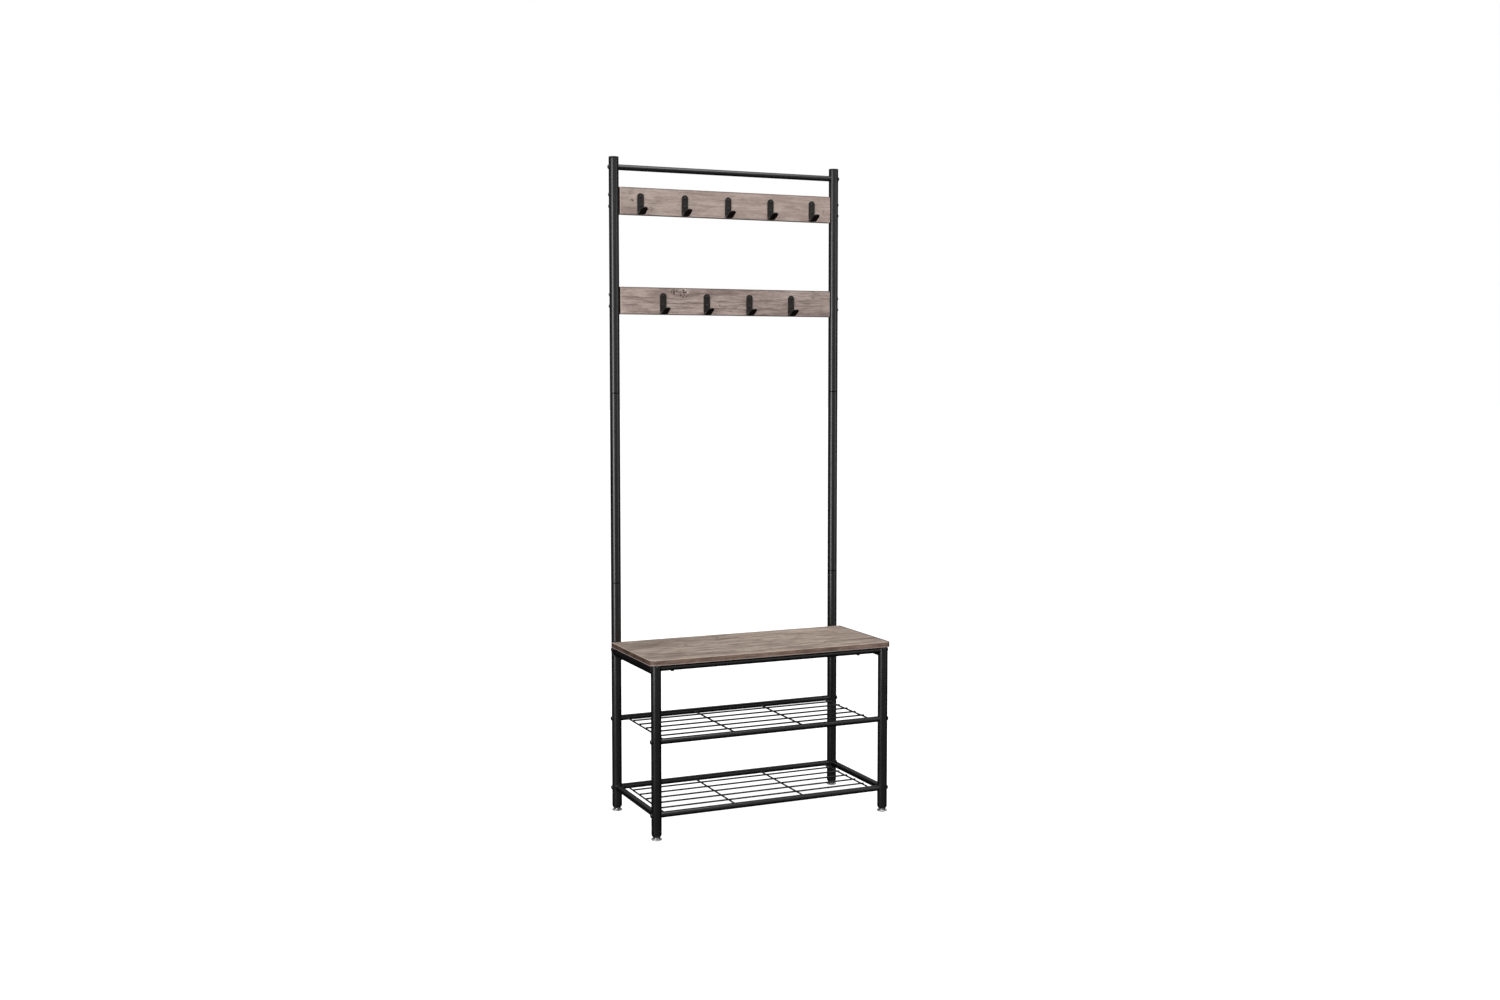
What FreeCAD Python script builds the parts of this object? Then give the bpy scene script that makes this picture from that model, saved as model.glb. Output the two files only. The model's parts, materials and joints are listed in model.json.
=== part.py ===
import FreeCAD, Part
import math
import os
import re

import Sketcher
from FreeCAD import Placement, Rotation, Vector

# Hall tree: two welded tube side frames, a seat board, two wire shelves, two hook
# boards and a hanging rail, bolted together. Millimetres, +Z up, the front towards -Y.
# The origin is on the floor, below the middle of the whole object.

SIZES = {
    # tube frame
    "total_height": 1830,
    "leg_axis_x": 340.4,
    "leg_axis_y": 156.5,
    "post_radius": 13.8,
    "tube_wall": 1.2,
    "end_chamfer": 0.7,
    "leg_end_z": 14,
    "front_leg_top_z": 465,
    "lower_joint_z": 648,
    "upper_joint_z": 1179,
    "rail_radius": 8,
    "side_rail_radius": 9,
    "weld_gap": 0.1,
    "plug_clearance": 0.1,
    "sleeve_reach": 45,
    "sleeve_wall": 1.5,
    # plastic plugs
    "cap_height": 4,
    "cap_round": 1.5,
    "cap_tail": 18,
    "top_plug_flange": 1.5,
    "top_plug_tail": 2.5,
    "foot_plug_bottom_z": 7,
    "foot_plug_shoulder_z": 12.5,
    "foot_plug_radius": 13.4,
    "foot_plug_tip_radius": 9.8,
    "foot_plug_top_z": 34,
    "foot_plug_bore": 4.5,
    # levelling feet
    "stud_radius": 4,
    "stud_fit": 0.05,
    "stud_bottom_z": 1.6,
    "stud_top_z": 38,
    "nut_radius": 6.5,
    "nut_bottom_z": 12,
    "nut_top_z": 26,
    "disc_radius": 14,
    "disc_rim_height": 3.4,
    "disc_round": 1.1,
    "disc_cone_top_z": 4.8,
    "hub_radius": 6,
    "hub_top_z": 6.7,
    "stud_floor": 0.1,
    # seat
    "seat_width": 720,
    "seat_front_y": 170,
    "seat_gap": 0.5,
    "seat_top_z": 482,
    "seat_thickness": 15,
    "seat_front_corner": 15,
    "seat_back_corner": 4,
    "seat_edge": 1.5,
    "front_left_screw_x": -294,
    "front_right_screw_x": 262,
    "side_screw_y": 110,
    "seat_screw_depth": 10,
    "pilot_play": 0.05,
    # wire shelves
    "lower_shelf_z": 66,
    "upper_shelf_z": 263,
    "wire_radius": 2.3,
    "end_wire_x": 310,
    "long_wire_pitch": 50,
    "long_wire_over": 1,
    "wire_sink": 0.7,
    "weld_depth": 1,
    # hanging rail and hook boards
    "hanging_rail_z": 1801.5,
    "upper_board_z": 1710,
    "lower_board_z": 1435.5,
    "board_height": 76,
    "board_thickness": 15,
    "board_gap": 1.2,
    "board_edge": 0.8,
    "board_bolt_rise": 16,
    # hooks
    "hook_pitch": 132.5,
    "hook_width": 19,
    "hook_height": 59,
    "hook_rise": 22.5,
    "hook_thick": 2.5,
    "hook_bend": 6.5,
    "hook_lean": 61,
    "hook_arm": 31.6,
    "hook_end_radius": 9.3,
    "hook_edge": 0.5,
    "hook_screw_top": 9,
    "hook_screw_low": 33,
    # fasteners
    "bolt_radius": 3,
    "bolt_play": 0.3,
    "bolt_head_radius": 6,
    "bolt_head_height": 3.3,
    "bolt_head_dome": 2.9,
    "low_head_radius": 4.75,
    "low_head_height": 1.5,
    "low_head_dome": 1.3,
    "rail_bolt_length": 38,
    "board_bolt_length": 48,
    "hex_socket_radius": 2.3,
    "hex_socket_depth": 2,
    "nut_set_back": 0.5,
    "rail_nut_length": 14,
    "insert_radius": 4.5,
    "insert_length": 22,
    "seat_screw_radius": 2,
    "seat_screw_head": 4.5,
    "seat_screw_head_height": 2.4,
    "seat_screw_dome": 2,
    "hook_screw_radius": 1.75,
    "hook_screw_head": 3.7,
    "hook_screw_head_height": 2,
    "hook_screw_dome": 1.6,
    "hook_screw_length": 14,
    "cross_recess_reach": 1.6,
    "cross_recess_half": 0.4,
    "cross_recess_depth": 1.2,
    "shank_tip": 0.6,
}

SIDES = {"left": "-leg_axis_x", "right": "leg_axis_x"}
ENDS = {"front": "-leg_axis_y", "back": "leg_axis_y"}
FRONT_Y = ENDS["front"]
BACK_Y = ENDS["back"]
SHELVES = {"upper": "upper_shelf_z", "lower": "lower_shelf_z"}
BOARDS = {"upper": ("upper_board_z", 5), "lower": ("lower_board_z", 4)}
SEAT_BOTTOM_Z = "seat_top_z - seat_thickness"
SEAT_RAIL_Z = f"{SEAT_BOTTOM_Z} - rail_radius"
SEAT_SIDE_RAIL_Z = f"{SEAT_BOTTOM_Z} - post_radius"
TUBE_BORE = "post_radius - tube_wall"
PLUG_RADIUS = "post_radius - tube_wall - plug_clearance"
HALF_BOARD = "leg_axis_x - post_radius - board_gap"
BOARD_FACE_Y = f"{BACK_Y} - board_thickness / 2"
HOOK_SCREW_DROPS = ("hook_screw_top", "hook_screw_low")
FRONT_SCREWS = ("front_left_screw_x", "front_right_screw_x")

POINT_START = 1
POINT_END = 2
POINT_CENTRE = 3
ORIGIN = -1
VERTICAL_AXIS = -2
HORIZONTAL_AXIS = -1

ALONG_X = Vector(1, 0, 0)
UP = Vector(0, 0, 1)
NO_TURN = Rotation()
TURN_TO_LEFT = Rotation(UP, 180)
TURN_TO_BACK = Rotation(UP, 90)
TURN_UP = Rotation(Vector(0, 1, 0), -90)

doc = FreeCAD.newDocument("hall_tree")
sheet = doc.addObject("Spreadsheet::Sheet", "Sizes")
nodes = {}


def fill_sheet():
    for row, (name, number) in enumerate(SIZES.items(), start=1):
        sheet.set(f"A{row}", name)
        sheet.set(f"B{row}", str(number))
        sheet.setAlias(f"B{row}", name)
    doc.recompute()


# ---------------------------------------------------------------- expressions

def bound(text):
    """The same formula, with every size's name pointing at its cell."""
    return re.sub(r"[a-z_]+", lambda word: f"Sizes.{word[0]}" if word[0] in SIZES else word[0], text)


def value(text):
    return float(sheet.evalExpression(bound(text)))


def bind(thing, target, text):
    thing.setExpression(target, bound(text))


# ---------------------------------------------------------------- sketches and features

def new_body(label, at=("0", "0", "0"), turn=NO_TURN, keep=True):
    body = doc.addObject("PartDesign::Body", label)
    body.Label = label
    place(body, at, turn)
    if keep:
        nodes[label] = body
    return body


def place(thing, at, turn=NO_TURN):
    thing.Placement = Placement(Vector(*(value(text) for text in at)), turn)
    for axis, text in zip("xyz", at):
        bind(thing, f"Placement.Base.{axis}", text)


def new_sketch(body, role, lift="0"):
    sketch = body.newObject("Sketcher::SketchObject", f"{body.Name}_sketch")
    plane = next(item for item in body.Origin.OriginFeatures if item.Role == role)
    sketch.AttachmentSupport = [(plane, "")]
    sketch.MapMode = "FlatFace"
    bind(sketch, "AttachmentOffset.Base.z", lift)
    return sketch


def constrain(sketch, kind, *arguments, size=None):
    """Add one constraint; with a size, its last number follows that formula."""
    if size is None:
        return sketch.addConstraint(Sketcher.Constraint(kind, *arguments))
    index = sketch.addConstraint(Sketcher.Constraint(kind, *arguments, value(size)))
    bind(sketch, f"Constraints[{index}]", size)
    return index


def is_zero(text):
    return math.isclose(value(text), 0, abs_tol=1e-9)


def fix_point(sketch, shape, point, across, up):
    if is_zero(across):
        constrain(sketch, "PointOnObject", shape, point, VERTICAL_AXIS)
    else:
        constrain(sketch, "DistanceX", ORIGIN, POINT_START, shape, point, size=across)
    if is_zero(up):
        constrain(sketch, "PointOnObject", shape, point, HORIZONTAL_AXIS)
    else:
        constrain(sketch, "DistanceY", ORIGIN, POINT_START, shape, point, size=up)


def add_circle(sketch, across, up, radius):
    centre = Vector(value(across), value(up), 0)
    shape = sketch.addGeometry(Part.Circle(centre, UP, value(radius)))
    fix_point(sketch, shape, POINT_CENTRE, across, up)
    constrain(sketch, "Radius", shape, size=radius)


def add_outline(sketch, corners):
    """A closed outline of straight lines through corners given as formulas."""
    points = [Vector(value(across), value(up), 0) for across, up in corners]
    shapes = []
    for start, end in zip(points, points[1:] + points[:1]):
        shapes.append(sketch.addGeometry(Part.LineSegment(start, end)))
    for shape, following in zip(shapes, shapes[1:] + shapes[:1]):
        constrain(sketch, "Coincident", shape, POINT_END, following, POINT_START)
    for shape, (across, up) in zip(shapes, corners):
        fix_point(sketch, shape, POINT_START, across, up)


def pad(body, sketch, length, symmetric=False):
    feature = body.newObject("PartDesign::Pad", f"{body.Name}_pad")
    feature.Profile = sketch
    feature.SideType = "Symmetric" if symmetric else "One side"
    bind(feature, "Length", length)
    finish_feature(body, feature)
    return feature


def pocket(body, sketch, depth=None, inward=False):
    """Cut the sketch right through both ways, or to a depth on one side."""
    doc.recompute()
    before = body.Shape.Volume
    feature = body.newObject("PartDesign::Pocket", f"{body.Name}_pocket")
    feature.Profile = sketch
    if depth is None:
        feature.Type = "ThroughAll"
        feature.SideType = "Symmetric"
    else:
        feature.Reversed = inward
        bind(feature, "Length", depth)
    finish_feature(body, feature)
    if body.Shape.Volume >= before:
        raise RuntimeError(f"a pocket of {body.Label} cuts nothing")
    return feature


def revolve(body, corners, role="XZ_Plane", axis="V_Axis"):
    """A solid of revolution from an outline of (radius, height) corners."""
    sketch = new_sketch(body, role)
    add_outline(sketch, corners)
    feature = body.newObject("PartDesign::Revolution", f"{body.Name}_turned")
    feature.Profile = sketch
    feature.ReferenceAxis = (sketch, [axis])
    feature.Angle = 360
    finish_feature(body, feature)
    return feature


def finish_feature(body, feature):
    body.Tip = feature
    doc.recompute()
    if body.Shape.isNull():
        raise RuntimeError(f"{feature.Label} made no shape")


def round_edges(body, radius, wanted):
    """Fillet the edges of the body's last feature that pass the test."""
    base = body.Tip
    names = [f"Edge{number}" for number, edge in enumerate(base.Shape.Edges, start=1) if wanted(edge)]
    feature = body.newObject("PartDesign::Fillet", f"{body.Name}_fillet")
    feature.Base = (base, names)
    bind(feature, "Radius", radius)
    finish_feature(body, feature)


def runs_along(edge, axis):
    if edge.Curve.TypeId != "Part::GeomLine":
        return False
    return abs(edge.tangentAt(edge.FirstParameter).dot(axis)) > 1 - 1e-6


def circle_at(edge, radius, along, text):
    """True for a circle of this radius whose centre is this far along an axis."""
    if edge.Curve.TypeId != "Part::GeomCircle":
        return False
    distance = edge.Curve.Center.dot(along)
    return math.isclose(edge.Curve.Radius, value(radius), abs_tol=1e-6) and math.isclose(
        distance, value(text), abs_tol=1e-6)


# ---------------------------------------------------------------- tubes

def upright_tube(label, at, bottom, top, bolt_heights=()):
    """A round post or leg, chamfered at both ends, with bolt holes along X."""
    body = new_body(label, at)
    revolve(body, [
        (TUBE_BORE, bottom),
        ("post_radius - end_chamfer", bottom),
        ("post_radius", f"{bottom} + end_chamfer"),
        ("post_radius", f"{top} - end_chamfer"),
        ("post_radius - end_chamfer", top),
        (TUBE_BORE, top),
    ])
    if bolt_heights:
        sketch = new_sketch(body, "YZ_Plane")
        for height in bolt_heights:
            add_circle(sketch, "0", height, "bolt_radius + bolt_play")
        pocket(body, sketch)
    return body


def side_frame_tubes(side, x):
    back = (x, BACK_Y, "0")
    front = (x, FRONT_Y, "0")
    low_bolts = [SEAT_RAIL_Z, "upper_shelf_z", "lower_shelf_z"]
    upright_tube(f"{side}_back_leg", back, "leg_end_z", "lower_joint_z", low_bolts)
    upright_tube(f"{side}_middle_post", back, "lower_joint_z", "upper_joint_z")
    high_bolts = ["hanging_rail_z"]
    for board_z, _ in BOARDS.values():
        high_bolts += [f"{board_z} - board_bolt_rise", f"{board_z} + board_bolt_rise"]
    upright_tube(f"{side}_upper_post", back, "upper_joint_z", "total_height - cap_height", high_bolts)
    upright_tube(f"{side}_front_leg", front, "leg_end_z", "front_leg_top_z", low_bolts)
    side_rail(f"{side}_seat_side_rail", x, SEAT_SIDE_RAIL_Z, "post_radius", "side_screw_y")
    side_rail(f"{side}_lower_side_rail", x, "lower_shelf_z", "side_rail_radius")


def side_rail(label, x, z, radius, screw_y=None):
    """A tube from the front leg to the back leg, welded at both ends."""
    body = new_body(label, (x, "0", z))
    sketch = new_sketch(body, "XZ_Plane")
    add_circle(sketch, "0", "0", radius)
    add_circle(sketch, "0", "0", f"{radius} - tube_wall")
    pad(body, sketch, "leg_axis_y * 2", symmetric=True)
    cope = new_sketch(body, "XY_Plane")
    for end_y in ENDS.values():
        add_circle(cope, "0", end_y, "post_radius + weld_gap")
    if screw_y:
        add_circle(cope, "0", screw_y, "seat_screw_radius + bolt_play")
    pocket(body, cope)


def cross_rail(label, y, z, screws=(), side_rail_z=None):
    """A long tube from the left leg to the right one, shaped to the legs and side rails."""
    body = new_body(label, ("0", y, z))
    sketch = new_sketch(body, "YZ_Plane")
    add_circle(sketch, "0", "0", "rail_radius")
    add_circle(sketch, "0", "0", "rail_radius - tube_wall")
    pad(body, sketch, "leg_axis_x * 2", symmetric=True)
    cope = new_sketch(body, "XY_Plane")
    for x in SIDES.values():
        add_circle(cope, x, "0", "post_radius + weld_gap")
    for x in screws:
        add_circle(cope, x, "0", "seat_screw_radius + bolt_play")
    pocket(body, cope)
    if side_rail_z:
        trim = new_sketch(body, "XZ_Plane")
        for x in SIDES.values():
            add_circle(trim, x, f"{side_rail_z} - ({z})", "post_radius + weld_gap")
        pocket(body, trim)


def joint_sleeves(label, height):
    """The short inner tubes that join two post sections end to end, left and right."""
    sleeve = new_body(f"{label}_pattern", keep=False)
    outer = f"{TUBE_BORE} - plug_clearance"
    revolve(sleeve, [
        (f"{outer} - sleeve_wall", "-sleeve_reach"),
        (outer, "-sleeve_reach"),
        (outer, "sleeve_reach"),
        (f"{outer} - sleeve_wall", "sleeve_reach"),
    ])
    group(label, [(sleeve, (x, BACK_Y, height), NO_TURN) for x in SIDES.values()])


# ---------------------------------------------------------------- plugs and feet

def post_cap(label, x):
    body = new_body(label, (x, BACK_Y, "0"))
    shoulder = "total_height - cap_height"
    revolve(body, [
        ("0", f"{shoulder} - cap_tail"),
        (PLUG_RADIUS, f"{shoulder} - cap_tail"),
        (PLUG_RADIUS, shoulder),
        ("post_radius", shoulder),
        ("post_radius", "total_height"),
        ("0", "total_height"),
    ])
    round_edges(body, "cap_round", lambda edge: circle_at(edge, "post_radius", UP, "total_height"))


def front_leg_plug(label, x):
    body = new_body(label, (x, FRONT_Y, "0"))
    revolve(body, [
        ("0", "front_leg_top_z - top_plug_tail"),
        (PLUG_RADIUS, "front_leg_top_z - top_plug_tail"),
        (PLUG_RADIUS, "front_leg_top_z"),
        ("foot_plug_radius", "front_leg_top_z"),
        ("foot_plug_radius", "front_leg_top_z + top_plug_flange"),
        ("0", "front_leg_top_z + top_plug_flange"),
    ])


def foot_plug(label, x, y):
    """The tapered plug in a leg's lower end, hollow for the nut and the stud."""
    body = new_body(label, (x, y, "0"))
    revolve(body, [
        ("foot_plug_bore", "foot_plug_bottom_z"),
        ("foot_plug_tip_radius", "foot_plug_bottom_z"),
        ("foot_plug_radius", "foot_plug_shoulder_z"),
        ("foot_plug_radius", "leg_end_z"),
        (PLUG_RADIUS, "leg_end_z"),
        (PLUG_RADIUS, "foot_plug_top_z"),
        ("foot_plug_bore", "foot_plug_top_z"),
        ("foot_plug_bore", "nut_top_z"),
        ("nut_radius + plug_clearance", "nut_top_z"),
        ("nut_radius + plug_clearance", "nut_bottom_z"),
        ("foot_plug_bore", "nut_bottom_z"),
    ])
    round_edges(body, "end_chamfer",
                lambda edge: circle_at(edge, "foot_plug_radius", UP, "foot_plug_shoulder_z"))


def foot_stud(label, x, y):
    body = new_body(label, (x, y, "0"))
    revolve(body, [
        ("0", "stud_bottom_z"),
        ("stud_radius", "stud_bottom_z"),
        ("stud_radius", "stud_top_z - end_chamfer"),
        ("stud_radius - end_chamfer", "stud_top_z"),
        ("0", "stud_top_z"),
    ])


def foot_disc(label, x, y):
    """The metal glide: a round-edged disc, a low cone and the hub on the stud."""
    body = new_body(label, (x, y, "0"))
    revolve(body, [
        ("0", "0"),
        ("disc_radius", "0"),
        ("disc_radius", "disc_rim_height"),
        ("hub_radius", "disc_cone_top_z"),
        ("hub_radius", "hub_top_z"),
        ("stud_radius + stud_fit", "hub_top_z"),
        ("stud_radius + stud_fit", "stud_bottom_z - stud_floor"),
        ("0", "stud_bottom_z - stud_floor"),
    ])
    for height in ("0", "disc_rim_height"):
        round_edges(body, "disc_round", lambda edge: circle_at(edge, "disc_radius", UP, height))


def levelling_feet():
    places = []
    for side, x in SIDES.items():
        for end, y in ENDS.items():
            foot_plug(f"{side}_{end}_leg_plug", x, y)
            foot_stud(f"{side}_{end}_foot_stud", x, y)
            foot_disc(f"{side}_{end}_foot_disc", x, y)
            places.append((x, y, "0"))
    nut = new_body("foot_nut_pattern", keep=False)
    revolve(nut, [
        ("stud_radius + stud_fit", "nut_bottom_z + plug_clearance"),
        ("nut_radius", "nut_bottom_z + plug_clearance"),
        ("nut_radius", "nut_top_z - plug_clearance"),
        ("stud_radius + stud_fit", "nut_top_z - plug_clearance"),
    ])
    group("foot_nuts", [(nut, at, NO_TURN) for at in places])


# ---------------------------------------------------------------- boards

def seat_board():
    back_edge = f"{BACK_Y} - post_radius - seat_gap"
    body = new_body("seat_board", ("0", "0", SEAT_BOTTOM_Z))
    sketch = new_sketch(body, "XY_Plane")
    add_outline(sketch, [
        ("-seat_width / 2", "-seat_front_y"),
        ("seat_width / 2", "-seat_front_y"),
        ("seat_width / 2", back_edge),
        ("-seat_width / 2", back_edge),
    ])
    pad(body, sketch, "seat_thickness")
    round_edges(body, "seat_front_corner", lambda edge: runs_along(edge, UP) and edge.CenterOfMass.y < 0)
    round_edges(body, "seat_back_corner", lambda edge: runs_along(edge, UP) and edge.CenterOfMass.y > 0)
    round_edges(body, "seat_edge", lambda edge: not runs_along(edge, UP))
    pilots = new_sketch(body, "XY_Plane")
    for x, y in seat_screw_spots():
        add_circle(pilots, x, y, "seat_screw_radius + pilot_play")
    pocket(body, pilots, depth="seat_screw_depth + pilot_play", inward=True)


def seat_screw_spots():
    """Two screws up through the front rail, and one through each side rail."""
    return [(x, FRONT_Y) for x in FRONT_SCREWS] + [(x, "side_screw_y") for x in SIDES.values()]


def hook_places(count):
    """The hooks' distances along a board, as formulas."""
    middle = (count - 1) / 2
    return [f"{number - middle} * hook_pitch" for number in range(count)]


def hook_board(label, z, hook_count):
    body = new_body(label, ("0", BACK_Y, z))
    sketch = new_sketch(body, "XZ_Plane")
    add_outline(sketch, [
        (f"-({HALF_BOARD})", "-board_height / 2"),
        (HALF_BOARD, "-board_height / 2"),
        (HALF_BOARD, "board_height / 2"),
        (f"-({HALF_BOARD})", "board_height / 2"),
    ])
    pad(body, sketch, "board_thickness", symmetric=True)
    round_edges(body, "board_edge", lambda edge: runs_along(edge, ALONG_X))
    for sign in ("-", ""):
        ends = new_sketch(body, "YZ_Plane", f"{sign}({HALF_BOARD})")
        for rise in ("-board_bolt_rise", "board_bolt_rise"):
            add_circle(ends, "0", rise, "insert_radius + pilot_play")
        pocket(body, ends, depth="insert_length", inward=sign == "-")
    pilots = new_sketch(body, "XZ_Plane", "board_thickness / 2")
    for x in hook_places(hook_count):
        for drop in HOOK_SCREW_DROPS:
            add_circle(pilots, x, f"hook_rise - {drop}", "hook_screw_radius + pilot_play")
    pocket(body, pilots, depth="hook_screw_length - hook_thick + pilot_play")


# ---------------------------------------------------------------- shelves

def wire_shelf(name, z):
    for end, y in ENDS.items():
        cross_rail(f"{name}_shelf_{end}_rail", y, z)
    cross = new_body(f"{name}_shelf_cross_wires", ("0", "0", f"{z} - wire_radius + wire_sink"))
    sketch = new_sketch(cross, "XZ_Plane")
    for x in ("-end_wire_x", "-end_wire_x / 3", "end_wire_x / 3", "end_wire_x"):
        add_circle(sketch, x, "0", "wire_radius")
    pad(cross, sketch, "(leg_axis_y - rail_radius + weld_depth) * 2", symmetric=True)
    long = new_body(f"{name}_shelf_long_wires", ("0", "0", f"{z} + wire_radius - wire_sink"))
    sketch = new_sketch(long, "YZ_Plane")
    for step in (-2, -1, 0, 1, 2):
        add_circle(sketch, f"{step} * long_wire_pitch", "0", "wire_radius")
    pad(long, sketch, "(end_wire_x + long_wire_over) * 2", symmetric=True)


# ---------------------------------------------------------------- hooks

def hook(label, x, board_z):
    """A bent steel strip: a flat plate on the board, a round bend and a leaning arm."""
    body = new_body(label, (x, BOARD_FACE_Y, f"{board_z} + hook_rise - hook_height"))
    sketch = new_sketch(body, "YZ_Plane")
    draw_hook(sketch)
    pad(body, sketch, "hook_width", symmetric=True)
    round_edges(body, "hook_end_radius", crosses_strip)
    round_edges(body, "hook_edge", lambda edge: not runs_along(edge, ALONG_X) and not crosses_strip(edge))
    holes = new_sketch(body, "XZ_Plane", "hook_thick * 2")
    for drop in HOOK_SCREW_DROPS:
        add_circle(holes, "0", f"hook_height - {drop}", "hook_screw_radius + bolt_play")
    pocket(body, holes, depth="hook_thick * 2")


def draw_hook(sketch):
    thick = value("hook_thick")
    inner = value("hook_bend")
    outer = inner + thick
    top = value("hook_height")
    lean = math.radians(value("hook_lean"))
    arm = value("hook_arm")
    turned = lean - math.pi
    centre = Vector(-outer, outer, 0)
    foot = Vector(math.cos(turned), math.sin(turned), 0)
    along = Vector(-math.sin(lean), math.cos(lean), 0)
    outer_foot = centre + foot * outer
    inner_foot = centre + foot * inner

    def line(start, end):
        return sketch.addGeometry(Part.LineSegment(start, end))

    def arc(radius):
        circle = Part.Circle(centre, UP, radius)
        return sketch.addGeometry(Part.ArcOfCircle(circle, turned, 0))

    back = line(Vector(0, top, 0), Vector(0, outer, 0))
    outer_bend = arc(outer)
    outer_arm = line(outer_foot, outer_foot + along * arm)
    tip = line(outer_foot + along * arm, inner_foot + along * arm)
    inner_arm = line(inner_foot + along * arm, inner_foot)
    inner_bend = arc(inner)
    front = line(Vector(-thick, outer, 0), Vector(-thick, top, 0))
    head = line(Vector(-thick, top, 0), Vector(0, top, 0))

    constrain(sketch, "Tangent", back, POINT_END, outer_bend, POINT_END)
    constrain(sketch, "Tangent", outer_bend, POINT_START, outer_arm, POINT_START)
    constrain(sketch, "Coincident", outer_arm, POINT_END, tip, POINT_START)
    constrain(sketch, "Coincident", tip, POINT_END, inner_arm, POINT_START)
    constrain(sketch, "Tangent", inner_arm, POINT_END, inner_bend, POINT_START)
    constrain(sketch, "Tangent", inner_bend, POINT_END, front, POINT_START)
    constrain(sketch, "Coincident", front, POINT_END, head, POINT_START)
    constrain(sketch, "Coincident", head, POINT_END, back, POINT_START)
    constrain(sketch, "PointOnObject", back, POINT_START, VERTICAL_AXIS)
    constrain(sketch, "Vertical", back)
    constrain(sketch, "Vertical", front)
    constrain(sketch, "Horizontal", head)
    constrain(sketch, "Perpendicular", outer_arm, tip)
    constrain(sketch, "Parallel", outer_arm, inner_arm)
    constrain(sketch, "Coincident", outer_bend, POINT_CENTRE, inner_bend, POINT_CENTRE)
    constrain(sketch, "Radius", outer_bend, size="hook_bend + hook_thick")
    constrain(sketch, "Radius", inner_bend, size="hook_bend")
    constrain(sketch, "Distance", outer_arm, size="hook_arm")
    constrain(sketch, "DistanceY", ORIGIN, POINT_START, back, POINT_START, size="hook_height")
    constrain(sketch, "DistanceY", ORIGIN, POINT_START, outer_bend, POINT_CENTRE,
              size="hook_bend + hook_thick")
    angle = sketch.addConstraint(Sketcher.Constraint("Angle", outer_arm, math.pi / 2 + lean))
    bind(sketch, f"Constraints[{angle}]", "(90 + hook_lean) * 1 deg")


def crosses_strip(edge):
    """True for the short edges through the strip, at the plate's top and the arm's tip."""
    return edge.Curve.TypeId == "Part::GeomLine" and math.isclose(
        edge.Length, value("hook_thick"), abs_tol=1e-6)


# ---------------------------------------------------------------- fasteners

def fastener(name, shank, length, head, height, dome, recess, recess_depth):
    """A bolt or screw along +X with a domed head, whose underside is at the origin."""
    body = new_body(name, keep=False)
    revolve(body, [
        (length, "0"),
        (length, f"{shank} * shank_tip"),
        (f"{length} - {shank} * shank_tip", shank),
        ("0", shank),
        ("0", head),
        (f"-{height}", head),
        (f"-{height}", "0"),
    ], role="XY_Plane", axis="H_Axis")
    round_edges(body, dome, lambda edge: circle_at(edge, head, ALONG_X, f"-{height}"))
    sketch = new_sketch(body, "YZ_Plane", f"-{height}")
    add_outline(sketch, recess)
    pocket(body, sketch, depth=recess_depth, inward=True)
    return body


def hexagon(radius):
    return [(f"{radius} * cos({angle} deg)", f"{radius} * sin({angle} deg)") for angle in range(0, 360, 60)]


def cross_shape(reach, half):
    """A plus sign, corner by corner, from the right-hand end of its upright."""
    return [
        (half, reach), (half, half), (reach, half),
        (reach, f"-{half}"), (half, f"-{half}"), (half, f"-{reach}"),
        (f"-{half}", f"-{reach}"), (f"-{half}", f"-{half}"), (f"-{reach}", f"-{half}"),
        (f"-{reach}", half), (f"-{half}", half), (f"-{half}", reach),
    ]


def socket_bolt(name, length, head="bolt_head"):
    return fastener(name, "bolt_radius", length, f"{head}_radius", f"{head}_height", f"{head}_dome",
                    hexagon("hex_socket_radius"), "hex_socket_depth")


def cross_screw(name, kind, length):
    return fastener(name, f"{kind}_radius", length, f"{kind}_head", f"{kind}_head_height",
                    f"{kind}_dome", cross_shape("cross_recess_reach", "cross_recess_half"),
                    "cross_recess_depth")


def ring(name, outer, inner, length):
    """A plain threaded sleeve along +X from the origin."""
    body = new_body(name, keep=False)
    revolve(body, [
        ("0", inner),
        ("0", outer),
        (length, outer),
        (length, inner),
    ], role="XY_Plane", axis="H_Axis")
    return body


def group(label, members):
    """One node of identical pieces: a link to a pattern at each place."""
    links = []
    for number, (pattern, at, turn) in enumerate(members, start=1):
        link = doc.addObject("App::Link", f"{label}_{number}")
        link.LinkedObject = pattern
        place(link, at, turn)
        links.append(link)
    compound = doc.addObject("Part::Compound", label)
    compound.Label = label
    compound.Links = links
    nodes[label] = compound


def both_sides(pattern, offset, spots):
    """The pattern at the same spots on the left and on the right, facing inwards."""
    members = []
    for y, z in spots:
        members.append((pattern, (f"-({offset})", y, z), NO_TURN))
        members.append((pattern, (offset, y, z), TURN_TO_LEFT))
    return members


def open_rail_spots():
    """The ends of the hanging rail and of the shelves' rails."""
    return [(BACK_Y, "hanging_rail_z")] + [(y, z) for y in ENDS.values() for z in SHELVES.values()]


def seat_rail_spots():
    return [(y, SEAT_RAIL_Z) for y in ENDS.values()]


def board_spots():
    spots = []
    for board_z, _ in BOARDS.values():
        for sign in ("-", "+"):
            spots.append((BACK_Y, f"{board_z} {sign} board_bolt_rise"))
    return spots


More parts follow.
